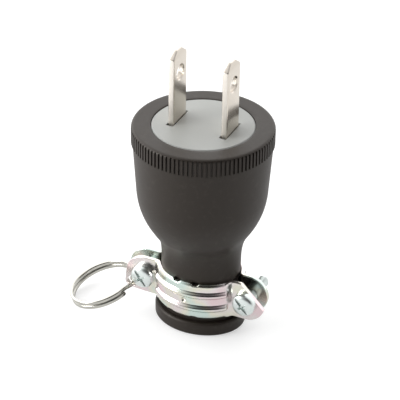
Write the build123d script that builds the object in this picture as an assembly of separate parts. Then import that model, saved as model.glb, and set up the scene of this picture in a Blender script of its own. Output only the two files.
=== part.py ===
"""Rubber electric plug with two flat blades, a clamped cord outlet and a split ring.

Millimetres, +Z up. The plug stands on its oval end flange with the blades upwards. The origin is the
centre of the cord outlet on the flange's underside, X runs across the two blades and along the clamp's
ears, and the clamp screws run along Y with their heads towards -Y.
"""

import os
from math import asin, atan2, cos, degrees, hypot, pi, radians, sin

from build123d import *

# Driving dimensions: rubber cover
cover_height = 50.2
rim_radius = 15.8
rim_height = 4.1
rim_edge = 0.6
rib_count = 100
rib_depth = 0.35
rib_share = 0.55
bell_top_radius = 15.5
shoulder_radius = 14.36
shoulder_depth = 21.0
shoulder_round = 19.0
throat_radius = 10.95
throat_depth = 26.5
throat_length = 8.0
neck_half_x = 9.35
neck_half_y = 7.55
flange_half_x = 10.3
flange_half_y = 8.35
flange_height = 3.3
flange_round = 0.7
cord_bore_radius = 5.25
bore_mouth_round = 0.4
room_radius = 12.0
room_depth = 19.0
room_cone_depth = 7.0

# Driving dimensions: grey contact holder
holder_face_radius = 11.4
holder_face_height = 2.6
holder_flange_radius = 12.7
holder_flange_height = 3.4
holder_block_width = 17.0
holder_block_height = 11.0
holder_block_round = 1.5
holder_face_bevel = 0.25
moulded_fit = 0.05

# Driving dimensions: blades
blade_spacing = 12.7
blade_width = 6.3
blade_thickness = 1.4
blade_reach = 17.0
blade_hole_radius = 1.65
blade_hole_height = 11.5
blade_tip_flat = 1.8
blade_tip_height = 1.6
blade_tip_thinning = 0.35
blade_tip_thinning_height = 1.4
blade_tail_width = 9.0
blade_tail_length = 10.5
slot_side_gap = 0.15
slot_end_gap = 0.8

# Driving dimensions: terminal screws and washers
terminal_depth = 11.5
terminal_screw_radius = 1.75
terminal_screw_length = 5.5
terminal_head_radius = 3.0
terminal_head_height = 2.2
terminal_washer_side = 7.0
terminal_washer_thickness = 0.8
screw_clearance = 0.2
thread_fit = 0.04

# Driving dimensions: the recesses and rounding of the pan-head screws, as shares of the head or shank
recess_width_share = 0.28
slot_depth_share = 0.3
cross_length_share = 1.15
cross_depth_share = 0.6
head_round_share = 0.7
tip_bevel_share = 0.3
terminal_recess_turn = 20.0
left_recess_turn = 50.0
right_recess_turn = 15.0

# Driving dimensions: cord clamp
clamp_height_centre = 9.1
clamp_band_height = 9.2
clamp_sheet = 1.0
front_ear_inner = 2.5
rear_ear_inner = 0.0
clamp_seat_fit = 0.05
clamp_bead_offset = 1.75
clamp_bead_rise = 0.65
clamp_bead_top = 0.5
clamp_fold_round = 0.45
clamp_lip_reach = 0.35
clamp_lip_height = 0.9
clamp_formed_angle = 28.0
clamp_dimple_radius = 0.6
clamp_dimple_depth = 0.4
clamp_dimple_angle = 268.4
lip_notch_angles = (253.0, 284.0)
lip_notch_width = 0.9
lip_notch_depth = 0.6
ear_bend_round = 0.6
front_ear_cut = 2.4
rear_ear_shift = -0.7
clamp_screw_spacing = 25.4
clamp_screw_radius = 1.5
clamp_screw_length = 10.6
clamp_head_radius = 2.9
clamp_head_height = 2.2
collar_wall = 0.7
collar_length = 1.3

# Driving dimensions: split ring and the eye that it hangs in
ring_radius = 7.7
ring_wire_width = 0.8
ring_wire_height = 0.98
ring_turn_gap = 0.05
ring_wire_bevel = 0.2
ring_turn = 25.5
ring_hang_angle = -14.0
ring_split_start = -46.0
ring_split_angle = 28.0
eye_left = 3.15
eye_drop = 2.65
eye_clearance = 0.2
eye_wall = 0.5
ring_room = 3.2

# Derived heights and places
rim_bottom = cover_height - rim_height
throat_top = cover_height - throat_depth
neck_top = throat_top - throat_length
holder_flange_top = cover_height - holder_face_height
holder_back = holder_flange_top - holder_flange_height
room_bottom = cover_height - room_depth
terminal_height = cover_height - terminal_depth
blade_x = blade_spacing / 2
clamp_bottom = clamp_height_centre - clamp_band_height / 2
front_ear_outer = front_ear_inner + clamp_sheet
rear_ear_outer = rear_ear_inner + clamp_sheet
screw_x = clamp_screw_spacing / 2
ear_radius = clamp_band_height / 2
ear_root = neck_half_x + clamp_seat_fit
same_place = 0.01


def oval(half_x, half_y, height):
    """A flat oval face at the given height."""
    return Plane.XY.offset(height) * Ellipse(half_x, half_y)


def oval_prism(half_x, half_y, bottom, top):
    """An upright oval block between two heights."""
    return extrude(oval(half_x, half_y, bottom), top - bottom)


def pan_screw(head_radius, head_height, shank_radius, shank_length, recess_turn):
    """A pan-head screw along Z, its seat at the origin and its head upwards, with a slot and a cross."""
    recess_width = recess_width_share * head_radius
    cross_length = cross_length_share * head_radius
    cross_depth = cross_depth_share * head_height
    upright = (Align.CENTER, Align.CENTER, Align.MIN)
    hanging = (Align.CENTER, Align.CENTER, Align.MAX)
    head = Cylinder(head_radius, head_height, align=upright)
    head = fillet(head.edges().sort_by(Axis.Z)[-1], head_round_share * head_height)
    shank = Cylinder(shank_radius, shank_length, align=hanging)
    shank = chamfer(shank.edges().sort_by(Axis.Z)[0], tip_bevel_share * shank_radius)
    recess = Box(3 * head_radius, recess_width, slot_depth_share * head_height, align=hanging)
    recess += Box(cross_length, recess_width, cross_depth, align=hanging)
    recess += Box(recess_width, cross_length, cross_depth, align=hanging)
    return head + shank - Pos(0, 0, head_height) * Rot(0, 0, recess_turn) * recess


# Rubber cover: ribbed rim, tapered bell, a throat that turns from round to oval, neck and end flange
def rib_slot(rib):
    """The groove after one rib, seen from above: it opens outwards through the rim."""
    pitch = 2 * pi / rib_count
    corners = (
        (rim_radius - rib_depth, rib_share),
        (rim_radius - rib_depth, 1),
        (rim_radius + rib_depth, 1),
        (rim_radius + rib_depth, rib_share),
    )
    turned = [(radius, (rib + share) * pitch) for radius, share in corners]
    points = [(radius * cos(turn), radius * sin(turn)) for radius, turn in turned]
    return make_face(Polyline(*points, close=True))


rim = Cylinder(rim_radius, rim_height, align=(Align.CENTER, Align.CENTER, Align.MIN))
rim = Pos(0, 0, rim_bottom) * rim
rim = fillet(rim.edges().sort_by(Axis.Z)[-1], rim_edge)
slot_floor = Plane.XY.offset(rim_bottom)
rim -= [extrude(slot_floor * rib_slot(rib), rim_height - rim_edge) for rib in range(rib_count)]

bell_side = FilletPolyline(
    (throat_radius, throat_top),
    (shoulder_radius, cover_height - shoulder_depth),
    (bell_top_radius, rim_bottom),
    radius=shoulder_round,
)
bell_closing = Polyline(
    (bell_top_radius, rim_bottom), (0, rim_bottom), (0, throat_top), (throat_radius, throat_top)
)
bell = revolve(Plane.XZ * make_face([*bell_side.edges(), *bell_closing.edges()]), Axis.Z)

throat_shares = ((0, 1, 1), (0.25, 0.4, 0.55), (0.56, 0.05, 0.18), (1, 0, 0))
throat = loft([
    oval(
        neck_half_x + (throat_radius - neck_half_x) * wide,
        neck_half_y + (throat_radius - neck_half_y) * deep,
        throat_top - throat_length * down,
    )
    for down, wide, deep in throat_shares
])

neck = oval_prism(neck_half_x, neck_half_y, flange_height / 2, neck_top)
flange = oval_prism(flange_half_x, flange_half_y, 0, flange_height)
flange = fillet(flange.edges(), flange_round)

lip_groove_depth = clamp_lip_reach + 2 * clamp_seat_fit
lip_groove_height = clamp_lip_height + 2 * clamp_seat_fit
lip_grooves = []
for groove_bottom in (
    clamp_bottom - clamp_seat_fit,
    clamp_bottom + clamp_band_height + clamp_seat_fit - lip_groove_height,
):
    groove_top = groove_bottom + lip_groove_height
    around = oval_prism(2 * neck_half_x, 2 * neck_half_y, groove_bottom, groove_top)
    core = oval_prism(neck_half_x - lip_groove_depth, neck_half_y - lip_groove_depth, groove_bottom, groove_top)
    lip_grooves.append(around - core)

room_side = Polyline(
    (0, 0),
    (cord_bore_radius, 0),
    (cord_bore_radius, room_bottom - room_cone_depth),
    (room_radius, room_bottom),
    (room_radius, holder_back),
    (holder_flange_radius + moulded_fit, holder_back),
    (holder_flange_radius + moulded_fit, holder_flange_top),
    (holder_face_radius + moulded_fit, holder_flange_top),
    (holder_face_radius + moulded_fit, cover_height),
    (0, cover_height),
    close=True,
)
room = revolve(Plane.XZ * make_face(room_side), Axis.Z)

rubber_cover = rim + bell + throat + neck
for groove in lip_grooves:
    rubber_cover -= groove
rubber_cover = rubber_cover + flange - room
mouth = rubber_cover.edges().filter_by(GeomType.CIRCLE).sort_by(Axis.Z)[0]
rubber_cover = fillet(mouth, bore_mouth_round)

# Contact holder: a round face, a wider flange held in the cover and a block between the terminals
holder_profile = Polyline(
    (0, holder_back),
    (holder_flange_radius, holder_back),
    (holder_flange_radius, holder_flange_top),
    (holder_face_radius, holder_flange_top),
    (holder_face_radius, cover_height - holder_face_bevel),
    (holder_face_radius - holder_face_bevel, cover_height),
    (0, cover_height),
    close=True,
)
contact_holder = revolve(Plane.XZ * make_face(holder_profile), Axis.Z)
block_half = blade_x - blade_thickness / 2
hanging = (Align.CENTER, Align.CENTER, Align.MAX)
block = Box(2 * block_half, holder_block_width, holder_block_height, align=hanging)
block = fillet(block.edges().filter_by(Axis.Z), holder_block_round)
screw_room = Cylinder(
    terminal_screw_radius + screw_clearance,
    2 * (terminal_screw_length - blade_thickness),
    rotation=(0, 90, 0),
)
contact_holder += Pos(0, 0, holder_back) * block
for side in (-1, 1):
    slot = Box(
        blade_thickness + 2 * slot_side_gap,
        blade_width + 2 * slot_end_gap,
        cover_height - holder_back,
        align=(Align.CENTER, Align.CENTER, Align.MIN),
    )
    contact_holder -= Pos(side * blade_x, 0, holder_back) * slot
    contact_holder -= Pos(side * block_half, 0, terminal_height) * screw_room


# Blades: a slim contact with a bevelled tip above, and a wider tail with the terminal hole below
def blade():
    """One blade, upright in the YZ plane and centred on it."""
    tip = cover_height + blade_reach
    tail = holder_back - blade_tail_length
    half = blade_width / 2
    tail_half = blade_tail_width / 2
    outline = Polyline(
        (-tail_half, tail),
        (tail_half, tail),
        (tail_half, holder_back),
        (half, holder_back),
        (half, tip - blade_tip_height),
        (blade_tip_flat / 2, tip),
        (-blade_tip_flat / 2, tip),
        (-half, tip - blade_tip_height),
        (-half, holder_back),
        (-tail_half, holder_back),
        close=True,
    )
    flat = blade_thickness / 2
    edge_on = Polyline(
        (-flat, tail),
        (flat, tail),
        (flat, tip - blade_tip_thinning_height),
        (flat - blade_tip_thinning, tip),
        (blade_tip_thinning - flat, tip),
        (-flat, tip - blade_tip_thinning_height),
        close=True,
    )
    plate = extrude(Plane.YZ * make_face(outline), flat, both=True)
    plate &= extrude(Plane.XZ * make_face(edge_on), tail_half, both=True)
    hole = Cylinder(blade_hole_radius, 2 * blade_thickness, rotation=(0, 90, 0))
    thread = Cylinder(terminal_screw_radius + thread_fit, 2 * blade_thickness, rotation=(0, 90, 0))
    plate -= Pos(0, 0, cover_height + blade_hole_height) * hole
    return plate - Pos(0, 0, terminal_height) * thread


blade_left = Pos(-blade_x, 0, 0) * blade()
blade_right = Pos(blade_x, 0, 0) * blade()


# Terminals: a square washer and a screw on the outer face of each blade's tail
def terminal_seat(side, stand_off):
    """A plane on a blade's outer face, facing away from the middle of the plug."""
    face_x = side * (blade_x + blade_thickness / 2 + stand_off)
    return Plane(origin=(face_x, 0, terminal_height), x_dir=(0, 1, 0), z_dir=(side, 0, 0))


def terminal_washer(side):
    """A flat square washer lying on a blade's outer face."""
    plate = Rectangle(terminal_washer_side, terminal_washer_side)
    plate -= Circle(terminal_screw_radius + screw_clearance)
    return extrude(terminal_seat(side, 0) * plate, terminal_washer_thickness)


def terminal_screw(side):
    """A terminal screw whose head lies on its washer."""
    screw = pan_screw(
        terminal_head_radius,
        terminal_head_height,
        terminal_screw_radius,
        terminal_screw_length,
        side * terminal_recess_turn,
    )
    return terminal_seat(side, terminal_washer_thickness) * screw


terminal_washer_left = terminal_washer(-1)
terminal_washer_right = terminal_washer(1)
terminal_screw_left = terminal_screw(-1)
terminal_screw_right = terminal_screw(1)


# Cord clamp: two sheet-metal halves, beaded and lipped round the neck and flat at the ears
def band_path(start, end):
    """The inside of the front half band, an oval arc between two angles."""
    half_x = neck_half_x + clamp_seat_fit
    half_y = neck_half_y + clamp_seat_fit
    return EllipticalCenterArc((0, 0, clamp_height_centre), half_x, half_y, start, arc_size=end - start)


def band_stretch(section, start, end):
    """A sheet section carried along the band; its local X points outwards from the neck."""
    path = band_path(start, end)
    tangent = path % 0
    outwards = tangent.cross(Vector(0, 0, 1))
    return sweep(Plane(path @ 0, x_dir=outwards, z_dir=tangent) * section, path=path)


def formed_section():
    """The band's section: turned-in lips at both edges and two beads pressed outwards."""
    edge = clamp_band_height / 2
    crest_low = clamp_bead_offset - clamp_bead_top / 2
    crest_high = clamp_bead_offset + clamp_bead_top / 2
    upper = [
        (0, crest_low - clamp_bead_rise),
        (clamp_bead_rise, crest_low),
        (clamp_bead_rise, crest_high),
        (0, crest_high + clamp_bead_rise),
        (0, edge - clamp_lip_height),
        (-clamp_lip_reach, edge),
    ]
    lower = [(across, -along) for across, along in reversed(upper)]
    inner = FilletPolyline(*lower, *upper, radius=clamp_fold_round)
    outer = Pos(clamp_sheet, 0) * inner
    ends = [Line(inner @ 0, outer @ 0), Line(inner @ 1, outer @ 1)]
    return make_face([*inner.edges(), *outer.edges(), *ends[0].edges(), *ends[1].edges()])


def plain_section():
    """The flat section of the band beside the ears."""
    return Rectangle(clamp_sheet, clamp_band_height, align=(Align.MIN, Align.CENTER))


def ear_plate(side, ear_inner, shift, eye, corner_cut):
    """A flat ear with a round end about its screw, with a lobe for the ring's eye or one corner cut off."""
    end_x = side * screw_x + shift
    root = Pos((side * ear_root + end_x) / 2, 0) * Rectangle(abs(end_x) - ear_root, clamp_band_height)
    outer_half = Pos(side * ear_radius, 0) * Rectangle(2 * ear_radius, 2 * ear_radius)
    outline = root + Pos(end_x, 0) * (Circle(ear_radius) & outer_half)
    if eye:
        lobe = Pos(side * (screw_x + eye_left), -eye_drop) * Circle(eye_radius + eye_wall)
        outline = make_hull((outline + lobe).edges())
    if corner_cut:
        distance, direction = corner_cut
        beyond = Rectangle(2 * ear_radius, 4 * ear_radius, align=(Align.MIN, Align.CENTER))
        outline -= Pos(side * screw_x, 0) * Rot(0, 0, direction) * Pos(distance, 0) * beyond
    front = Plane(origin=(0, -ear_inner, clamp_height_centre), x_dir=(1, 0, 0), z_dir=(0, -1, 0))
    return extrude(front * outline, clamp_sheet)


def lip_notch(angle, edge):
    """A block that cuts a relief notch in the band's upper (1) or lower (-1) lip at an angle round the neck."""
    place = band_path(180, 360).position_at((angle - 180) / 180)
    block = Box(lip_notch_width, 4 * clamp_sheet, 2 * lip_notch_depth)
    height = clamp_height_centre + edge * clamp_band_height / 2
    return Pos(place.X, place.Y, height) * Rot(0, 0, angle + 90) * block


def clamp_half(ear_inner, shift, left_cut=None, right_cut=None, left_eye=False):
    """A half clamp on the -Y side, without its screw holes. A cut is a distance from the screw and a direction."""
    ear_outer = ear_inner + clamp_sheet
    ear_angle = degrees(asin((ear_inner + ear_outer) / 2 / (neck_half_y + clamp_seat_fit)))
    first = 180 + clamp_formed_angle
    last = 360 - clamp_formed_angle
    half = band_stretch(formed_section(), first, last)
    half -= [lip_notch(angle, edge) for angle in lip_notch_angles for edge in (-1, 1)]
    half += band_stretch(plain_section(), 180 + ear_angle, first)
    half += band_stretch(plain_section(), last, 360 - ear_angle)
    half += ear_plate(-1, ear_inner, shift, left_eye, left_cut)
    half += ear_plate(1, ear_inner, shift, False, right_cut)
    at_ear_face = half.edges().filter_by_position(Axis.Y, -ear_outer - same_place, -ear_outer + same_place)
    bends = at_ear_face.filter_by(lambda edge: edge.bounding_box().size.X < same_place)
    return fillet(bends, ear_bend_round)


def along_screw(side, radius, start, end):
    """A round bar on a clamp screw's axis between two places along Y."""
    seat = Plane(origin=(side * screw_x, start, clamp_height_centre), z_dir=(0, 1, 0))
    return extrude(seat * Circle(radius), end - start)


ring_half_height = ring_wire_height + ring_turn_gap / 2
eye_radius = hypot(ring_half_height, ring_wire_width / 2) + eye_clearance

clamp_half_front = clamp_half(front_ear_inner, 0, right_cut=(front_ear_cut, 45), left_eye=True)
clamp_half_rear = mirror(clamp_half(rear_ear_inner, rear_ear_shift, left_cut=(ring_room, -135)), about=Plane.XZ)
collar_end = rear_ear_outer + collar_length
for side in (-1, 1):
    free_radius = clamp_screw_radius + screw_clearance
    clamp_half_front -= along_screw(side, free_radius, -front_ear_outer, -front_ear_inner)
    clamp_half_rear += along_screw(side, clamp_screw_radius + collar_wall, rear_ear_outer, collar_end)
    clamp_half_rear -= along_screw(side, clamp_screw_radius + thread_fit, rear_ear_inner, collar_end)

eye_centre = Vector(
    -(screw_x + eye_left),
    -(front_ear_inner + front_ear_outer) / 2,
    clamp_height_centre - eye_drop,
)
eye_plane = Plane(origin=eye_centre, z_dir=(0, 1, 0))
clamp_half_front -= extrude(eye_plane * Circle(eye_radius), clamp_sheet, both=True)

dimple_point = band_path(180, 360).position_at((clamp_dimple_angle - 180) / 180)
dimple_plane = Plane(origin=dimple_point + Vector(0, clamp_dimple_depth - clamp_sheet, 0), z_dir=(0, -1, 0))
clamp_half_front -= extrude(dimple_plane * Circle(clamp_dimple_radius), clamp_sheet)


def clamp_screw(side, recess_turn):
    """A clamp screw whose head lies on the front ear and whose tip stands out behind the rear one."""
    screw = pan_screw(
        clamp_head_radius, clamp_head_height, clamp_screw_radius, clamp_screw_length, recess_turn
    )
    return Plane(origin=(side * screw_x, -front_ear_outer, clamp_height_centre), z_dir=(0, -1, 0)) * screw


clamp_screw_left = clamp_screw(-1, left_recess_turn)
clamp_screw_right = clamp_screw(1, right_recess_turn)


# Split ring: two stacked turns of flat wire joined by a short crossing, lying from the eye to the floor
def wire_section(angle, layer):
    """The wire's section at an angle round the ring, in its lower (-1), middle (0) or upper (1) layer."""
    spot = radians(angle)
    height = layer * (ring_wire_height + ring_turn_gap) / 2
    place = Plane(
        origin=(ring_radius * cos(spot), ring_radius * sin(spot), height),
        x_dir=(cos(spot), sin(spot), 0),
        z_dir=(sin(spot), -cos(spot), 0),
    )
    wire = Rectangle(ring_wire_width, ring_wire_height)
    return place * chamfer(wire.vertices(), ring_wire_bevel)


split_end = ring_split_start + ring_split_angle
turn_sweep = 360 - ring_split_angle
lower_turn = revolve(wire_section(split_end, -1), Axis.Z, turn_sweep)
upper_turn = revolve(wire_section(split_end, 1), Axis.Z, turn_sweep)
crossing = loft([
    wire_section(split_end, -1),
    wire_section((ring_split_start + split_end) / 2, 0),
    wire_section(ring_split_start, 1),
])
flat_ring = lower_turn + crossing + upper_turn

hang = radians(ring_hang_angle)
ring_reach = ring_radius * (1 + cos(hang)) + ring_wire_width / 2
ring_lean = asin(eye_centre.Z / hypot(ring_reach, ring_half_height)) - atan2(ring_half_height, ring_reach)
uphill = Vector(
    cos(ring_lean) * cos(radians(ring_turn)),
    cos(ring_lean) * sin(radians(ring_turn)),
    sin(ring_lean),
)
level = Vector(-sin(radians(ring_turn)), cos(radians(ring_turn)), 0)
ring_centre = eye_centre - (uphill * cos(hang) + level * sin(hang)) * ring_radius
ring_plane = Plane(origin=ring_centre, x_dir=uphill, z_dir=uphill.cross(level))
split_ring = ring_plane * flat_ring

nodes = {
    "rubber_cover": rubber_cover,
    "contact_holder": contact_holder,
    "blade_left": blade_left,
    "blade_right": blade_right,
    "terminal_washer_left": terminal_washer_left,
    "terminal_washer_right": terminal_washer_right,
    "terminal_screw_left": terminal_screw_left,
    "terminal_screw_right": terminal_screw_right,
    "clamp_half_front": clamp_half_front,
    "clamp_half_rear": clamp_half_rear,
    "clamp_screw_left": clamp_screw_left,
    "clamp_screw_right": clamp_screw_right,
    "split_ring": split_ring,
}

os.makedirs("parts", exist_ok=True)
for name, solid in nodes.items():
    export_step(solid, f"parts/{name}.step")
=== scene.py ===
from math import cos, hypot, pi, radians, sin, tan

import bmesh
import bpy
import numpy as np
from mathutils import Matrix, Vector


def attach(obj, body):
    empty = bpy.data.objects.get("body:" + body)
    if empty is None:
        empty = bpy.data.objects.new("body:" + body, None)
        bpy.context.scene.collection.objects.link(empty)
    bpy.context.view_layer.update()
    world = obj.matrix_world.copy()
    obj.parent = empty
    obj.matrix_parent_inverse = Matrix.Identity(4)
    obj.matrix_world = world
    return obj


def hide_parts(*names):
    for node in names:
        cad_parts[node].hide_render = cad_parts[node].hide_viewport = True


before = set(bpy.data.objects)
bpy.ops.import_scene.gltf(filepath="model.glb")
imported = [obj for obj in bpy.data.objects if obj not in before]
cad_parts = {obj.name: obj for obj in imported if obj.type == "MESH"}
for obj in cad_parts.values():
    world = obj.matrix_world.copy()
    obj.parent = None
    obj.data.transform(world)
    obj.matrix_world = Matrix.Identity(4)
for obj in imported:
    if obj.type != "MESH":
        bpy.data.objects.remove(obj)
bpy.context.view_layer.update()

# Rubber cover: the soft black body of the plug, with a ribbed grip rim, a bell, a neck and an oval end
# flange. It is one piece of compression-moulded rubber, so its skin is dull, with a faint grain from the
# mould and a little pale dust. The contact holder is pushed into it from above.
mm = 0.001
same_point = 0.0002 * mm
sharp_angle = radians(40)


class Shade:
    """One socket in a material's node tree; arithmetic on it adds Math nodes."""

    def __init__(self, tree, socket=None):
        self.tree = tree
        self.socket = socket

    def node(self, kind, settings=None, inputs=None, output=0):
        """Adds a node, sets its settings and then its sockets, and gives one of its outputs."""
        made = self.tree.nodes.new("ShaderNode" + kind)
        for name, value in (settings or {}).items():
            if name == "stops":
                ramp = made.color_ramp.elements
                while len(ramp) < len(value):
                    ramp.new(1.0)
                for stop, (position, colour) in zip(ramp, value):
                    stop.position = position
                    stop.color = (*colour, 1.0)
            else:
                setattr(made, name, value)
        for name, value in (inputs or {}).items():
            if isinstance(value, Shade):
                self.tree.links.new(value.socket, made.inputs[name])
            else:
                made.inputs[name].default_value = value
        return Shade(self.tree, made.outputs[output])

    def math(self, operation, first, second=0.0):
        """A Math node on one or two values."""
        return self.node("Math", {"operation": operation}, {0: first, 1: second})

    def __add__(self, other):
        return self.math("ADD", self, other)

    def __sub__(self, other):
        return self.math("SUBTRACT", self, other)

    def __mul__(self, other):
        return self.math("MULTIPLY", self, other)

    def __rsub__(self, other):
        return self.math("SUBTRACT", other, self)

    __radd__ = __add__
    __rmul__ = __mul__

    def between(self, low, high):
        """0 below low and 1 above high, with a smooth step between them."""
        limits = {"Value": self, "From Min": low, "From Max": high}
        return self.node("MapRange", {"interpolation_type": "SMOOTHSTEP"}, limits)

    def mix(self, first, second):
        """The colour that lies between two colours by this share."""
        return self.node("Mix", {"data_type": "RGBA"}, {0: self, 6: first, 7: second}, 2)

    def along(self, axis):
        """One coordinate of this vector."""
        return self.node("SeparateXYZ", None, {"Vector": self}, axis)


def finish(name, **constants):
    """A new Principled material; gives it, its shader node and a Shade that adds nodes to it."""
    material = bpy.data.materials.new(name)
    material.use_nodes = True
    tree = material.node_tree
    shader = tree.nodes["Principled BSDF"]
    for socket, value in constants.items():
        shader.inputs[socket.replace("_", " ")].default_value = value
    return material, shader, Shade(tree)


def feed(shader, **links):
    """Links values that change over the surface to the shader's sockets."""
    for socket, value in links.items():
        value.tree.links.new(value.socket, shader.inputs[socket.replace("_", " ")])


def noise(shade, scale, detail=3.0, stretch=(1.0, 1.0, 1.0)):
    """Noise from 0 to 1 in Object coordinates, whose grain is 1 / scale metres across."""
    place = shade.node("TexCoord", output="Object")
    place = shade.node("Mapping", None, {"Vector": place, "Scale": stretch})
    return shade.node("TexNoise", None, {"Vector": place, "Scale": scale, "Detail": detail}, "Fac")


def bump(height, strength, depth):
    """The normal of a skin that rises with a height from 0 to 1, to a depth in millimetres."""
    return height.node("Bump", None, {"Strength": strength, "Distance": depth * mm, "Height": height})


def run(start, end, count):
    """Points evenly spaced from start towards end, which is left out."""
    start = np.array(start, float)
    return start + (np.array(end, float) - start) * np.arange(count)[:, None] / count


def corner(start, middle, end, count):
    """A rounded corner: (1-t)^2 start + 2t(1-t) middle + t^2 end, its last point left out."""
    t = np.arange(count)[:, None] / count
    return (1 - t) ** 2 * np.array(start) + 2 * t * (1 - t) * np.array(middle) + t ** 2 * np.array(end)


def quads(grid, rows_close):
    """The points of a grid of rows and columns, and the quads between them; the columns close round."""
    rows, columns = grid.shape[:2]
    index = np.arange(rows * columns).reshape(rows, columns)
    after = np.roll(index, -1, axis=0)
    faces = np.stack([index, np.roll(index, -1, axis=1), np.roll(after, -1, axis=1), after], axis=-1)
    if not rows_close:
        faces = faces[:-1]
    return grid.reshape(-1, 3), faces.reshape(-1, 4)


def shell(name, grid, rows_close=False):
    """A closed mesh object from a grid in millimetres; rows that shrink to a point become poles."""
    points, faces = quads(grid, rows_close)
    mesh = bpy.data.meshes.new(name)
    mesh.from_pydata((points * mm).tolist(), [], faces.tolist())
    work = bmesh.new()
    work.from_mesh(mesh)
    bmesh.ops.remove_doubles(work, verts=work.verts, dist=same_point)
    bmesh.ops.dissolve_degenerate(work, edges=work.edges, dist=same_point)
    bmesh.ops.recalc_face_normals(work, faces=work.faces)
    work.to_mesh(mesh)
    work.free()
    made = bpy.data.objects.new(name, mesh)
    bpy.context.scene.collection.objects.link(made)
    return made


def dress(made, material, body, node):
    """Smooths a piece apart from its sharp edges, gives it its finish and lets it stand for its node."""
    mesh = made.data
    mesh.polygons.foreach_set("use_smooth", np.ones(len(mesh.polygons), bool))
    mesh.set_sharp_from_angle(angle=sharp_angle)
    mesh.materials.clear()
    mesh.materials.append(material)
    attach(made, body)
    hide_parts(node)


rim_radius = 15.8
rim_top = 50.2
rim_bottom = 46.1
rim_round = 0.9
rib_count = 100
rib_depth = 0.35
rib_top_gap = 0.55
rib_fade = 0.25
rib_samples = np.array([0.0, 0.28, 0.55, 0.61, 0.78, 0.94])
rib_slot = np.array([0.0, 0.0, 0.0, 1.0, 1.0, 1.0])
holder_hole = 11.45
hole_round = 0.3
bell_top = 15.5
bell_shoulder = np.array([14.36, 29.2])
shoulder_round = 19.0
throat_radius = 10.95
throat_top = 23.7
throat_bottom = 15.7
throat_power_x = 3.2
throat_power_y = 2.1
neck_x = 9.35
neck_y = 7.55
flange_x = 10.7
flange_y = 8.8
flange_height = 3.3
flange_round = 0.7
groove_depth = 0.3
groove_heights = ((12.8, 13.7), (4.5, 5.4))
bore_radius = 5.25
bore_mouth = 0.4
bore_top = 24.2
room_radius = 12.0
room_bottom = 31.2
holder_back = 44.2
holder_ledge = 47.6
holder_flange = 12.75


def ring(radius, height):
    """A round row of the cover: its half widths along X and Y, and its height."""
    return np.array([radius, radius, height])


def oval(half_x, half_y, height):
    """An oval row of the cover."""
    return np.array([half_x, half_y, height])


def bell_rows():
    """The bell's rows: a straight taper, a round shoulder and a steeper straight run to the throat."""
    top = np.array([bell_top, rim_bottom])
    foot = np.array([throat_radius, throat_top])
    up = (top - bell_shoulder) / np.linalg.norm(top - bell_shoulder)
    down = (foot - bell_shoulder) / np.linalg.norm(foot - bell_shoulder)
    reach = shoulder_round * tan(np.arccos(np.clip(-up @ down, -1, 1)) / 2)
    above = bell_shoulder + up * reach
    below = bell_shoulder + down * reach
    rows = [run(top, above, 10), corner(above, bell_shoulder, below, 18), run(below, foot, 3)]
    radius, height = np.concatenate(rows).T
    return np.stack([radius, radius, height], axis=1)


def throat_rows(count):
    """From round to oval: each half width falls to the neck's with its own power of the way left."""
    left = 1 - np.arange(count) / count
    half_x = neck_x + (throat_radius - neck_x) * left ** throat_power_x
    half_y = neck_y + (throat_radius - neck_y) * left ** throat_power_y
    return np.stack([half_x, half_y, throat_bottom + (throat_top - throat_bottom) * left], axis=1)


def neck_rows():
    """The neck from the throat to the flange, with the two grooves that take the clamp's lips."""
    rows = [run(oval(neck_x, neck_y, throat_bottom), oval(neck_x, neck_y, groove_heights[0][1]), 3)]
    for low, high in groove_heights:
        rows.append([
            oval(neck_x, neck_y, high),
            oval(neck_x - groove_depth, neck_y - groove_depth, high),
            oval(neck_x - groove_depth, neck_y - groove_depth, low),
            oval(neck_x, neck_y, low),
        ])
    return np.concatenate(rows)


def flange_rows():
    """The end flange: rounded over its top edge, down its side and into its flat underside."""
    top_in = oval(flange_x - flange_round, flange_y - flange_round, flange_height)
    top_out = oval(flange_x, flange_y, flange_height - flange_round)
    foot_out = oval(flange_x, flange_y, flange_round)
    foot_in = oval(flange_x - flange_round, flange_y - flange_round, 0)
    return np.concatenate([
        run(oval(neck_x, neck_y, flange_height), top_in, 2),
        corner(top_in, oval(flange_x, flange_y, flange_height), top_out, 6),
        run(top_out, foot_out, 3),
        corner(foot_out, oval(flange_x, flange_y, 0), foot_in, 6),
    ])


def inside_rows():
    """From the flange's underside up the cord's bore, through the wiring room to the holder's seat."""
    mouth = ring(bore_radius + bore_mouth, 0)
    bore = ring(bore_radius, bore_mouth)
    bore_end = ring(bore_radius, bore_top)
    room = ring(room_radius, room_bottom)
    return np.concatenate([
        run(oval(flange_x - flange_round, flange_y - flange_round, 0), mouth, 3),
        corner(mouth, ring(bore_radius, 0), bore, 4),
        run(bore, bore_end, 4),
        run(bore_end, room, 3),
        [room, ring(room_radius, holder_back), ring(holder_flange, holder_back)],
        [ring(holder_flange, holder_ledge), ring(holder_hole, holder_ledge)],
    ])


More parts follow.
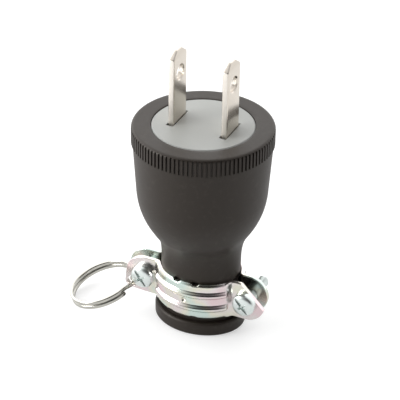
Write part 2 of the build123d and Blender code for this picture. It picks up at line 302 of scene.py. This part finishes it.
rim_hole = ring(holder_hole, rim_top - hole_round)
rim_inner = ring(holder_hole + hole_round, rim_top)
rim_outer = ring(rim_radius - rim_round, rim_top)
rim_side = ring(rim_radius, rim_top - rim_round)
rim_rows = np.concatenate([
    run(ring(holder_hole, holder_ledge + hole_round), rim_hole, 2),
    corner(rim_hole, ring(holder_hole, rim_top), rim_inner, 4),
    run(rim_inner, rim_outer, 4),
    corner(rim_outer, ring(rim_radius, rim_top), rim_side, 14),
    run(rim_side, ring(rim_radius, rim_bottom), 6),
    [ring(rim_radius, rim_bottom)],
])
cover_rows = np.concatenate([
    rim_rows, bell_rows(), throat_rows(20), neck_rows(), flange_rows(), inside_rows()
])
rib_turn = (np.arange(rib_count)[:, None] + rib_samples).ravel() * 2 * pi / rib_count
rib_cut = np.tile(rib_slot, rib_count) * rib_depth
rib_top = rim_top - rib_top_gap + rib_fade
cut_share = np.zeros(len(cover_rows))
cut_share[: len(rim_rows)] = np.clip((rib_top - rim_rows[:, 2]) / rib_fade, 0, 1)
cut_share[cover_rows[:, 0] < rim_radius - rim_round] = 0
cut = cut_share[:, None] * rib_cut[None, :]
cover_grid = np.stack([
    (cover_rows[:, :1] - cut) * np.cos(rib_turn),
    (cover_rows[:, 1:2] - cut) * np.sin(rib_turn),
    np.broadcast_to(cover_rows[:, 2:], cut.shape),
], axis=-1)

moulded_black = (0.0155, 0.011, 0.008, 1)
dusty_black = (0.036, 0.029, 0.024, 1)
dust_share = 0.35
black_rubber, rubber_shader, shade = finish(
    "black_rubber", IOR=1.5, Specular_IOR_Level=0.42, Specular_Tint=(1.0, 0.94, 0.88, 1)
)
grain = noise(shade, 2600.0, 4.0)
cloud = noise(shade, 90.0, 2.0)
dust = noise(shade, 700.0, 5.0).between(0.52, 0.74)
feed(
    rubber_shader,
    Base_Color=(dust * dust_share).mix(moulded_black, dusty_black),
    Roughness=0.4 + cloud * 0.1 + grain * 0.08,
    Normal=bump(grain, 0.25, 0.02),
)
rubber_cover = shell("rubber_cover_skin", cover_grid, rows_close=True)
dress(rubber_cover, black_rubber, "plug", "rubber_cover")

# Contact holder: the grey moulded insert that carries the blades. It is a hard resin with a satin face,
# left bare, pushed into the cover so that only its round face shows.
resin_dark = (0.318, 0.325, 0.31, 1)
resin_pale = (0.368, 0.375, 0.358, 1)
grey_resin, resin_shader, shade = finish("grey_resin", IOR=1.5)
grain = noise(shade, 1800.0, 3.0)
cloud = noise(shade, 160.0, 3.0)
feed(
    resin_shader,
    Base_Color=cloud.mix(resin_dark, resin_pale),
    Roughness=0.38 + grain * 0.14,
    Normal=bump(grain, 0.3, 0.02),
)


def wear(node, material):
    """Gives a node of the frame its finish in place of the plain one."""
    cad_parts[node].data.materials.clear()
    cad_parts[node].data.materials.append(material)


wear("contact_holder", grey_resin)

# Blades: two flat brass contacts, punched from strip and nickel plated, with a hole near the bevelled
# tip. The wider tails below the holder stop them from being pulled out, and take the terminal screws.
blade_x = 6.35
blade_half_width = 3.15
blade_half_thickness = 0.7
blade_edge_round = 0.3
blade_tail_half = 4.5
blade_tail_bottom = 33.7
blade_tail_gap = 0.02
blade_tip = 67.2
blade_tip_half = 1.1
blade_tip_height = 1.5
blade_tip_thin = 0.38
blade_tip_flat = (0.7, 0.8, 1.0)
bevel_bend = 0.2
bevel_start = 0.12
bevel_end = 0.9
blade_hole_radius = 1.65
blade_hole_height = 61.7
blade_hole_flare = 0.28
terminal_height = 38.7
terminal_hole_radius = 1.79
cutter_reach = 2.0
hole_columns = 48
most_round = 0.8


def blade_rows():
    """Half thickness, half width and height of a blade's rows, from its tail up to its bevelled tip."""
    flat = blade_half_thickness
    wide = blade_half_width
    tail_top = holder_back - blade_tail_gap
    bevel_foot = np.array([flat, wide, blade_tip - blade_tip_height])
    tip = np.array([blade_tip_thin, blade_tip_half, blade_tip])
    below = bevel_foot - [0, 0, bevel_bend]
    on_bevel = bevel_foot + bevel_start * (tip - bevel_foot)
    near_tip = bevel_foot + bevel_end * (tip - bevel_foot)
    on_top = tip * blade_tip_flat
    return np.concatenate([
        [[0, 0, blade_tail_bottom], [flat, blade_tail_half, blade_tail_bottom]],
        [[flat, blade_tail_half, tail_top], [flat, wide, tail_top]],
        run([flat, wide, holder_back], below, 12),
        corner(below, bevel_foot, on_bevel, 7),
        run(on_bevel, near_tip, 5),
        corner(near_tip, tip, on_top, 6),
        [on_top, [0, 0, blade_tip]],
    ])


def plate_loops(rows, rounding, steps=6):
    """A rounded rectangle for each row: a quarter circle about each of the four corner centres."""
    half_x, half_y, height = rows.T[:, :, None]
    radius = np.minimum(rounding, most_round * np.minimum(half_x, half_y))
    turn = (np.linspace(0, pi / 2, steps) + np.arange(4)[:, None] * pi / 2).ravel()
    side_x = np.repeat([1, -1, -1, 1], steps)
    side_y = np.repeat([1, 1, -1, -1], steps)
    x = (half_x - radius) * side_x + radius * np.cos(turn)
    y = (half_y - radius) * side_y + radius * np.sin(turn)
    return np.stack([x, y, np.broadcast_to(height, x.shape)], axis=-1)


def turned(rows, columns, centre, axis):
    """Rows of radius and distance along an axis, turned about X (0) or Y (1) through a centre."""
    radius, along = np.array(rows, float).T[:, :, None]
    turn = np.arange(columns) * 2 * pi / columns
    grid = np.empty((len(rows), columns, 3))
    grid[..., axis] = along
    grid[..., 1 - axis] = radius * np.cos(turn)
    grid[..., 2] = radius * np.sin(turn)
    return grid + np.array(centre)


def hole_rows(radius, half_depth, flare):
    """A cutter for a hole through a plate: straight inside, and opened at 45 degrees at both faces."""
    outer = radius + flare + cutter_reach
    top = half_depth + cutter_reach
    side = [(0, top), (outer, top), (radius, half_depth - flare)]
    return [(r, -along) for r, along in side] + side[::-1]


def carve(made, cutter_grid, operation="DIFFERENCE", rows_close=False):
    """Cuts a closed shape out of a piece, or joins it on, and keeps the result as the piece's mesh."""
    cutter = shell("cutter", cutter_grid, rows_close)
    change = made.modifiers.new("carve", "BOOLEAN")
    change.operation = operation
    change.solver = "EXACT"
    change.object = cutter
    depsgraph = bpy.context.evaluated_depsgraph_get()
    carved = bpy.data.meshes.new_from_object(made.evaluated_get(depsgraph))
    made.modifiers.clear()
    made.data = carved
    bpy.data.objects.remove(cutter)


nickel_dull = (0.70, 0.64, 0.56, 1)
nickel_bright = (0.79, 0.73, 0.65, 1)
nickel_punched = (0.90, 0.85, 0.78, 1)
nickel_painted_shade_bevel = (0.60, 0.55, 0.49, 1)
nickel_plate, nickel_shader, shade = finish("nickel_plate", Metallic=1.0)
drawn = noise(shade, 900.0, 3.0, (1.0, 1.0, 0.06))
smear = noise(shade, 260.0, 3.0)
normal = shade.node("TexCoord", output="Normal")
punched = shade.math("ABSOLUTE", normal.along("Y")).between(0.8, 0.95)
# The upward bevel faces at the tips get a darker colour. This is painted shade, so that their bright
# reflection does not wash them out.
painted_shade_bevel = normal.along("Z").between(0.3, 0.7)
plated = smear.mix(nickel_dull, nickel_bright)
feed(
    nickel_shader,
    Base_Color=painted_shade_bevel.mix(punched.mix(plated, nickel_punched), nickel_painted_shade_bevel),
    Roughness=0.17 + drawn * 0.12 + punched * 0.22 + painted_shade_bevel * 0.1,
    Normal=bump(drawn, 0.15, 0.01),
)
blade_holes = ((blade_hole_height, blade_hole_radius), (terminal_height, terminal_hole_radius))
for name, side in (("blade_left", -1), ("blade_right", 1)):
    middle = np.array([side * blade_x, 0, 0])
    blade = shell(name + "_bevelled", plate_loops(blade_rows(), blade_edge_round) + middle)
    for height, radius in blade_holes:
        hole = hole_rows(radius, blade_half_thickness, blade_hole_flare)
        carve(blade, turned(hole, hole_columns, middle + [0, 0, height], 0))
    dress(blade, nickel_plate, "plug", name)

# Terminals: a screw and a square washer on each blade's tail, shut inside the cover. They are plain
# brass, and clamp the bare ends of the cord's cores to the blades.
brass_dark = (0.62, 0.46, 0.20, 1)
brass_pale = (0.74, 0.58, 0.29, 1)
terminal_brass, brass_shader, shade = finish("terminal_brass", Metallic=1.0)
smear = noise(shade, 500.0, 3.0)
feed(
    brass_shader,
    Base_Color=smear.mix(brass_dark, brass_pale),
    Roughness=0.25 + smear * 0.15,
)
for hand in ("left", "right"):
    wear("terminal_washer_" + hand, terminal_brass)
    wear("terminal_screw_" + hand, terminal_brass)

# Cord clamp: two half bands pressed from sheet steel, with two stiffening beads and lips that bite the
# neck. The zinc plating is passivated, which gives it a pale play of pink, straw and green. The rear half,
# and its ears most, are pushed toward the green as painted shade, for faces that look away into shade and
# reflect the dark rubber. The front left ear has an eye for the ring, and the rear ears have drawn collars
# that are tapped for the screws.
sheet = 1.0
sheet_edge = 0.2
clamp_middle = 9.1
clamp_half_height = 4.6
band_x = 9.9
band_y = 8.1
band_samples = 260
front_ear = 3.0
rear_ear = 0.5
ear_bend = 0.9
ear_samples = 26
rear_shift = -0.7
front_cut = 2.4
front_cut_direction = 45.0
ring_room = 3.2
ring_room_direction = -135.0
screw_x = 12.7
bead_offset = 1.75
bead_rise = 0.65
bead_flat = 0.15
bead_flank = 0.85
lip_reach = 0.35
lip_height = 0.9
lip_power = 1.5
formed_start = 210.0
formed_end = 330.0
formed_fade = 6.0
upper_notches = (257.0, 283.0)
lower_notches = (249.0, 282.0)
notch_half = 6.5
notch_steep = 1.6
notch_depth = 0.45
dimple_angle = 268.5
dimple_radius = 0.3
dimple_wall = 0.3
dimple_depth = 0.4
eye_left = 3.15
eye_drop = 2.65
eye_radius = 1.28
eye_wall = 0.5
eye_flare = 0.12
eye_spot = np.array([-screw_x - eye_left, -front_ear, clamp_middle - eye_drop])
lobe_direction = 205.0
plain_direction = 180.0
screw_radius = 1.5
screw_clearance = 0.2
screw_hole_flare = 0.05
screw_hole_columns = 40
thread_fit = 0.04
tapped_radius = screw_radius + thread_fit
collar_wall = 0.7
collar_radius = tapped_radius + collar_wall
collar_length = 1.3
collar_root = 0.2
collar_back = sheet / 2 + collar_length
collar_outer_bevel = 0.15
collar_inner_bevel = 0.1


def smooth(value):
    """3v^2 - 2v^3 for v from 0 to 1, and level outside."""
    v = np.clip(value, 0, 1)
    return v * v * (3 - 2 * v)


def ear_edges(count, lobe):
    """Upper and lower edge points of a left ear about its middle, from its end round to its top and foot.

    Each point lies a radius away in its own direction, and a lobe's point wins where it lies further out.
    """
    end = radians(lobe_direction if lobe else plain_direction)
    turn = end + (np.array([[pi / 2], [3 * pi / 2]]) - end) * np.linspace(0, 1, count)
    toward = np.stack([np.cos(turn), np.sin(turn)], axis=-1)
    edge = clamp_half_height * toward
    if lobe:
        on_lobe = np.array([-eye_left, -eye_drop]) + (eye_radius + eye_wall) * toward
        further = ((on_lobe - edge) * toward).sum(axis=-1, keepdims=True) > 0
        edge = np.where(further, on_lobe, edge)
    return edge


def band_path(ear, shift):
    """The band's middle line seen from above, from one ear's middle to the other's, and its angles."""
    root = np.arcsin(ear / band_y)
    meet = np.array([-band_x * cos(root), -ear])
    first = pi + root + ear_bend / band_y
    last = 3 * pi - first
    angle = np.linspace(first, last, band_samples)
    oval_line = np.stack([band_x * np.cos(angle), band_y * np.sin(angle)], axis=1)
    leads = []
    for side in (-1, 1):
        straight = run([-screw_x - side * shift, -ear], meet - [ear_bend, 0], 6)
        bend = corner(meet - [ear_bend, 0], meet, oval_line[0], 10)
        leads.append(np.concatenate([straight, bend]))
    path = np.concatenate([leads[0], oval_line, leads[1][::-1] * [-1, 1]])
    ends = np.ones(len(leads[0]))
    return path, np.degrees(np.concatenate([first * ends, angle, last * ends]))


def sheet_loop():
    """The sheet's section: each column's offset from its middle, share of its height, and edge rise."""
    face = np.linspace(0, 1, 64)[1:-1]
    turn = np.linspace(0, pi / 2, 4)
    flat = np.full(len(face), sheet / 2)
    bend = sheet / 2 - sheet_edge + sheet_edge * np.cos(turn)
    climb = np.sin(turn)
    level = np.zeros(len(face))
    full = np.ones(len(turn))
    offset = np.concatenate([flat, bend, -bend[::-1], -flat, -bend, bend[::-1]])
    lift = np.concatenate([face, full, full, 1 - face, 0 * full, 0 * full])
    rise = np.concatenate([level, climb, climb[::-1], level, -climb, -climb[::-1]])
    return offset, lift, rise


def formed(height):
    """The pressed section: two beads with cosine flanks, and lips that lean in at both edges."""
    flank = (np.abs(np.abs(height) - bead_offset) - bead_flat) / bead_flank
    bead = bead_rise * 0.5 * (1 + np.cos(pi * np.clip(flank, 0, 1)))
    lip = np.clip((np.abs(height) - clamp_half_height + lip_height) / lip_height, 0, 1) ** lip_power
    return bead - lip_reach * lip


def notched(angle, middles):
    """How deep an edge is notched: fully about each notch's middle, with a smooth step to its ends."""
    near = [1 - np.abs(angle - middle) / notch_half for middle in middles]
    return notch_depth * sum(smooth(notch_steep * share) for share in near)


def half_clamp(ear, shift, lobe, dimple):
    """A half clamp: the sheet's section carried from one ear's end round the neck to the other's."""
    path, angle = band_path(ear, shift)
    upper, lower = ear_edges(ear_samples, lobe)
    plain_upper, plain_lower = ear_edges(ear_samples, False)
    left_x = path[0, 0] + np.stack([lower[:-1, 0], upper[:-1, 0]])
    right_x = path[-1, 0] - np.stack([plain_lower[:-1, 0], plain_upper[:-1, 0]])[:, ::-1]
    x = np.concatenate([left_x, np.stack([path[:, 0]] * 2), right_x], axis=1)
    ends = np.full(len(upper) - 1, -ear)
    none = np.zeros(len(ends))
    y = np.concatenate([ends, path[:, 1], ends])
    band_top = clamp_half_height - notched(angle, upper_notches)
    band_bottom = notched(angle, lower_notches) - clamp_half_height
    top = np.concatenate([upper[:-1, 1], band_top, plain_upper[-2::-1, 1]])
    bottom = np.concatenate([lower[:-1, 1], band_bottom, plain_lower[-2::-1, 1]])
    tangent = np.gradient(path, axis=0)
    tangent /= np.linalg.norm(tangent, axis=1)[:, None]
    ear_normal = np.tile([0.0, -1.0], (len(ends), 1))
    band_normal = np.stack([tangent[:, 1], -tangent[:, 0]], axis=1)
    outwards = np.concatenate([ear_normal, band_normal, ear_normal])
    begin = smooth((angle - formed_start) / formed_fade)
    stop = smooth((formed_end - angle) / formed_fade)
    press = np.concatenate([none, begin * stop, none])
    offset, lift, rise = sheet_loop()
    tall = (top - bottom)[:, None]
    edge = np.minimum(sheet_edge, tall / 2)
    height = bottom[:, None] + edge * (1 + rise) + lift * (tall - 2 * edge)
    share = (height - bottom[:, None]) / np.maximum(tall, same_point)
    out = offset + press[:, None] * formed(height)
    if dimple:
        around = np.concatenate([none, np.radians(angle - dimple_angle) * band_x, none])[:, None]
        dent = dimple_depth * (1 - smooth((np.hypot(around, height) - dimple_radius) / dimple_wall))
        on_band = np.concatenate([none, np.ones(len(angle)), none])[:, None]
        out = out - dent * on_band * (offset > 0)
    plan_x = x[0][:, None] + (x[1] - x[0])[:, None] * share
    return np.stack([
        plan_x + outwards[:, :1] * out,
        y[:, None] + outwards[:, 1:] * out,
        clamp_middle + height,
    ], axis=-1)


def corner_block(side, distance, direction):
    """A block that cuts a corner off an ear: a square turned to a direction about the screw, along Y."""
    spin = radians(direction)
    across = np.array([(0, 1), (0, -1), (2, -1), (2, 1)]) * 2 * clamp_half_height + [distance, 0]
    x = across[:, 0] * cos(spin) - across[:, 1] * sin(spin) + side * screw_x
    z = across[:, 0] * sin(spin) + across[:, 1] * cos(spin) + clamp_middle
    size = np.array([[0], [1], [1], [0]])
    y = np.array([[-band_y], [-band_y], [band_y], [band_y]])
    block_x = x.mean() + (x - x.mean()) * size
    block_z = z.mean() + (z - z.mean()) * size
    return np.stack([block_x, np.broadcast_to(y, block_x.shape), block_z], axis=-1)


zinc_play = (
    (0.34, (0.77, 0.62, 0.64)),
    (0.45, (0.76, 0.71, 0.70)),
    (0.55, (0.76, 0.74, 0.63)),
    (0.66, (0.62, 0.73, 0.68)),
)
fleck_play = 0.1
front_ear_pink = 0.12
rear_ear_painted_shade = 0.26
rear_half_painted_shade = 0.06
zinc_sheet, sheet_shader, shade = finish("zinc_sheet", Metallic=1.0)
patch = noise(shade, 150.0, 1.0)
fleck = noise(shade, 1400.0, 3.0)
on_clamp = shade.node("TexCoord", output="Object")
on_ears = shade.math("ABSOLUTE", on_clamp.along("X")).between(9.5 * mm, 12.0 * mm)
on_rear_painted_shade = on_clamp.along("Y").between(-2.0 * mm, -0.5 * mm)
# The rear half, and its ears most, are pushed toward green. This is painted shade, standing in for their
# dark reflection of the rubber.
ear_tint_and_painted_shade = on_ears * (rear_ear_painted_shade * on_rear_painted_shade - front_ear_pink)
tint_and_painted_shade = patch + fleck_play * (fleck - 0.5) + ear_tint_and_painted_shade + rear_half_painted_shade * on_rear_painted_shade
feed(
    sheet_shader,
    Base_Color=shade.node("ValToRGB", {"stops": zinc_play}, {"Fac": tint_and_painted_shade}),
    Roughness=0.15 + fleck * 0.1,
    Normal=bump(fleck, 0.12, 0.02),
)

eye = hole_rows(eye_radius, sheet / 2, eye_flare)
through = hole_rows(screw_radius + screw_clearance, sheet / 2, screw_hole_flare)
tapped = hole_rows(tapped_radius, sheet / 2, screw_hole_flare)
collar = [
    (tapped_radius, collar_root),
    (collar_radius, collar_root),
    (collar_radius, collar_back - collar_outer_bevel),
    (collar_radius - collar_outer_bevel, collar_back),
    (tapped_radius + collar_inner_bevel, collar_back),
    (tapped_radius, collar_back - collar_inner_bevel),
]
front_half = half_clamp(front_ear, 0, lobe=True, dimple=True)
rear_half = half_clamp(rear_ear, rear_shift, lobe=False, dimple=False) * [1, -1, 1]
clamp_front = shell("clamp_half_front_pressed", front_half)
clamp_rear = shell("clamp_half_rear_pressed", rear_half)
carve(clamp_front, corner_block(1, front_cut, front_cut_direction))
carve(clamp_front, turned(eye, hole_columns, eye_spot, 1))
carve(clamp_rear, corner_block(-1, ring_room, ring_room_direction))
for side in (-1, 1):
    in_front = [side * screw_x, -front_ear, clamp_middle]
    behind = [side * screw_x, rear_ear, clamp_middle]
    carve(clamp_front, turned(through, screw_hole_columns, in_front, 1))
    carve(clamp_rear, turned(tapped, screw_hole_columns, behind, 1))
    carve(clamp_rear, turned(collar, screw_hole_columns, behind, 1), "UNION", rows_close=True)
dress(clamp_front, zinc_sheet, "plug", "clamp_half_front")
dress(clamp_rear, zinc_sheet, "plug", "clamp_half_rear")

# Clamp screws: pan-head machine screws of zinc-plated steel with a combined slot and cross. They pass
# through the front ears and are driven into the tapped collars of the rear ones, so their tips stand
# out behind.
head_radius = 2.75
head_height = 1.95
head_round = 0.9
head_crown = 0.22
head_lean = 0.05
head_drop = 0.2
head_chamfer = 0.1
screw_length = 10.6
thread_start = 0.2
thread_spare = 0.9
thread_pitch = 0.5
thread_depth = 0.14
thread_rows = 8
tip_step = 0.15
tip_taper = 0.5
screw_columns = 64
recess_half_width = 0.4
recess_reach = 1.0
slot_half_length = 1.5 * head_radius
slot_depth = 0.25
slot_taper = 0.97
cross_half_length = 1.5
cross_depth = 0.55
cross_taper = 0.6


def head_seat(side):
    """Where the head of the left (-1) or right (1) screw rests on its ear."""
    return np.array([side * screw_x, -front_ear - sheet / 2, clamp_middle])


def screw_grid(side):
    """A screw along Y: a crowned head, and a shank cut by a triangle wave that winds round it."""
    away = np.arange(7) / 7
    crown_radius = away * (head_radius - head_round)
    crown_height = head_height + head_crown * (1 - away ** 2)
    crown_edge = [head_radius - head_round, head_height]
    head_bend = [head_radius - head_lean, head_height - head_drop]
    head_side = [head_radius, head_height - head_round]
    head = np.concatenate([
        np.stack([crown_radius, crown_height], axis=1),
        corner(crown_edge, head_bend, head_side, 10),
        [head_side, [head_radius, head_chamfer], [head_radius - head_chamfer, 0], [screw_radius, 0]],
    ])
    turns = int((screw_length - thread_spare) / thread_pitch)
    along = -thread_start - np.arange(turns * thread_rows + 1) * thread_pitch / thread_rows
    shank = np.stack([np.full(len(along), screw_radius), along], axis=1)
    tip = np.array([
        [screw_radius - tip_step, along[-1] - tip_step],
        [screw_radius - tip_taper, -screw_length],
        [0, -screw_length],
    ])
    rows = np.concatenate([head, shank, tip])
    turn = np.arange(screw_columns) * 2 * pi / screw_columns
    wave = np.abs(((rows[:, 1:] / thread_pitch + turn / (2 * pi)) % 1) * 2 - 1)
    threaded = np.zeros(len(rows))
    threaded[len(head) + thread_rows : len(head) + len(shank)] = 1
    radius = rows[:, :1] - thread_depth * threaded[:, None] * wave
    y = np.broadcast_to(-rows[:, 1:], wave.shape)
    return np.stack([radius * np.cos(turn), y, radius * np.sin(turn)], axis=-1) + head_seat(side)


def recess_grid(side, length, depth, turn, taper):
    """A tapered bar that cuts a slot in a head: corners at two depths, turned about the screw."""
    corners = np.array([(1, 1), (-1, 1), (-1, -1), (1, -1)]) * [length, recess_half_width]
    high = head_height + recess_reach
    levels = ((0, high), (1, high), (taper, head_height - depth), (0, head_height - depth))
    flat = np.array([corners * size for size, level in levels])
    spin = radians(turn)
    x = flat[..., 0] * cos(spin) - flat[..., 1] * sin(spin)
    z = flat[..., 0] * sin(spin) + flat[..., 1] * cos(spin)
    y = np.repeat([[-level] for size, level in levels], 4, axis=1)
    return np.stack([x, y, z], axis=-1) + head_seat(side)


zinc_grey = (0.70, 0.78, 0.76, 1)
zinc_pale = (0.84, 0.88, 0.86, 1)
zinc_screw, screw_shader, shade = finish("zinc_screw", Metallic=1.0)
fleck = noise(shade, 1100.0, 3.0)
feed(
    screw_shader,
    Base_Color=fleck.mix(zinc_grey, zinc_pale),
    Roughness=0.27 + fleck * 0.14,
)
for name, side, turn in (("clamp_screw_left", -1, -52), ("clamp_screw_right", 1, -48)):
    screw = shell(name + "_threaded", screw_grid(side))
    carve(screw, recess_grid(side, slot_half_length, slot_depth, turn, slot_taper))
    for quarter in (0, 90):
        carve(screw, recess_grid(side, cross_half_length, cross_depth, turn + quarter, cross_taper))
    dress(screw, zinc_screw, "plug", name)

# Split ring: two turns of flattened spring wire, nickel plated, sprung apart to hang in the eye of the
# left ear. It leans from the eye down to the table, and is free to swing.
ring_radius = 7.7
wire_width = 0.8
wire_height = 0.98
wire_round = 0.3
wire_end = 0.8
turn_gap = 0.05
ring_turn = radians(25.5)
ring_hang = radians(-14)
split_start = -46.0
split_angle = 28.0
ring_samples = 420


def wire_grid():
    """The wire's section carried round twice: in the upper layer, down a crossing, and in the lower."""
    first = split_start + split_angle
    angle = np.linspace(first, first + 720 - split_angle, ring_samples)
    down = smooth((angle - 360 - split_start) / split_angle)
    layer = (0.5 - down) * (wire_height + turn_gap)
    half_height = turn_gap / 2 + wire_height
    reach = ring_radius * (1 + cos(ring_hang)) + wire_width / 2
    lean = np.arcsin(eye_spot[2] / hypot(reach, half_height)) - np.arctan2(half_height, reach)
    uphill = np.array([cos(lean) * cos(ring_turn), cos(lean) * sin(ring_turn), sin(lean)])
    level = np.array([-sin(ring_turn), cos(ring_turn), 0])
    stack = np.cross(uphill, level)
    centre = eye_spot - ring_radius * (uphill * cos(ring_hang) + level * sin(ring_hang))
    section = plate_loops(np.array([[wire_width / 2, wire_height / 2, 0.0]]), wire_round)[0]
    ends = np.concatenate([[0, wire_end], np.ones(ring_samples - 4), [wire_end, 0]])
    across = ring_radius + ends[:, None] * section[:, 0]
    up = layer[:, None] + ends[:, None] * section[:, 1]
    spot = np.radians(angle)
    spot[1] = spot[0]
    spot[-2] = spot[-1]
    outwards = np.cos(spot)[:, None] * uphill + np.sin(spot)[:, None] * level
    return centre + across[..., None] * outwards[:, None] + up[..., None] * stack


steel_dark = (0.46, 0.45, 0.41, 1)
steel_pale = (0.60, 0.59, 0.54, 1)
ring_steel, ring_shader, shade = finish("ring_steel", Metallic=1.0)
smear = noise(shade, 600.0, 3.0)
feed(
    ring_shader,
    Base_Color=smear.mix(steel_dark, steel_pale),
    Roughness=0.1 + smear * 0.12,
)
split_ring = shell("split_ring_wound", wire_grid())
dress(split_ring, ring_steel, "ring", "split_ring")

# Camera: it stands in front of the plug and a little to the right, and looks down at it through a long
# lens, as in the photograph.
camera_azimuth = radians(24.88)
camera_elevation = radians(31.816)
camera_roll = radians(0.95)
camera_distance = 426.33
camera_target = np.array([-0.428, -0.198, 30.796])
to_camera = np.array([
    sin(camera_azimuth) * cos(camera_elevation),
    -cos(camera_azimuth) * cos(camera_elevation),
    sin(camera_elevation),
])
level_right = np.array([cos(camera_azimuth), sin(camera_azimuth), 0.0])
level_up = np.cross(to_camera, level_right)
camera_right = level_right * cos(camera_roll) + level_up * sin(camera_roll)
camera_up = level_up * cos(camera_roll) - level_right * sin(camera_roll)
camera_data = bpy.data.cameras.new("camera")
camera_data.sensor_width = 36.0
camera_data.lens = 172.19
camera_data.clip_start = 0.01
camera = bpy.data.objects.new("camera", camera_data)
bpy.context.scene.collection.objects.link(camera)
stand = Matrix(np.column_stack([camera_right, camera_up, to_camera]).tolist()).to_4x4()
stand.translation = (camera_target + camera_distance * to_camera) * mm
camera.matrix_world = stand
bpy.context.scene.camera = camera
bpy.context.scene.view_settings.view_transform = "Standard"

# Floor and light: a pale plain table under a bright studio dome, which is darker behind the camera and
# brightest across from it, and two broad lamps from the left.
floor_half = 3.0
floor_drop = 0.02 * mm
seen_glow = 0.5
mirrored_glow = 0.3
dome_light = 0.75
zenith_light = 0.35
far_light = 1.3
black = (0.0, 0.0, 0.0, 1)
near_black = (0.03, 0.03, 0.03, 1)
white = (1.0, 1.0, 1.0, 1)
lamp_aim = Vector((0, 0, 0.03))

pale_floor, floor_shader, shade = finish(
    "pale_floor", Base_Color=(0.6, 0.6, 0.6, 1), Roughness=0.9, Specular_IOR_Level=0.0, Emission_Strength=1.0
)
seen = shade.node("LightPath", output="Is Camera Ray")
mirrored = shade.node("LightPath", output="Is Glossy Ray")
glow = seen * seen_glow + mirrored * mirrored_glow
feed(floor_shader, Emission_Color=glow.mix(black, white))
floor_corners = ((-1, -1), (1, -1), (1, 1), (-1, 1))
floor_points = [(x * floor_half, y * floor_half, -floor_drop) for x, y in floor_corners]
floor_mesh = bpy.data.meshes.new("floor")
floor_mesh.from_pydata(floor_points, [], [(0, 1, 2, 3)])
floor_mesh.materials.append(pale_floor)
floor = bpy.data.objects.new("floor", floor_mesh)
bpy.context.scene.collection.objects.link(floor)

world = bpy.data.worlds.new("studio")
bpy.context.scene.world = world
world.use_nodes = True
sky = Shade(world.node_tree)
direction = sky.node("TexCoord", output="Generated")
facing = sky.node("VectorMath", {"operation": "DOT_PRODUCT"}, {0: direction, 1: tuple(to_camera)}, "Value")
zenith = direction.along("Z").between(0.1, 0.9)
far_side = facing.between(0.1, -0.5)
feed(
    world.node_tree.nodes["Background"],
    Color=facing.between(0.5, 0.92).mix(white, near_black),
    Strength=dome_light + zenith * zenith_light + far_side * far_light,
)

for name, size, energy, spot in (
    ("high_lamp", 0.7, 1.9, (-0.6, 0.0, 0.45)),
    ("low_lamp", 0.3, 2.8, (-0.5, -0.38, 0.2)),
):
    lamp_data = bpy.data.lights.new(name, "AREA")
    lamp_data.size = size
    lamp_data.energy = energy
    lamp = bpy.data.objects.new(name, lamp_data)
    lamp.location = spot
    lamp.rotation_euler = (lamp_aim - lamp.location).to_track_quat("-Z", "Y").to_euler()
    bpy.context.scene.collection.objects.link(lamp)
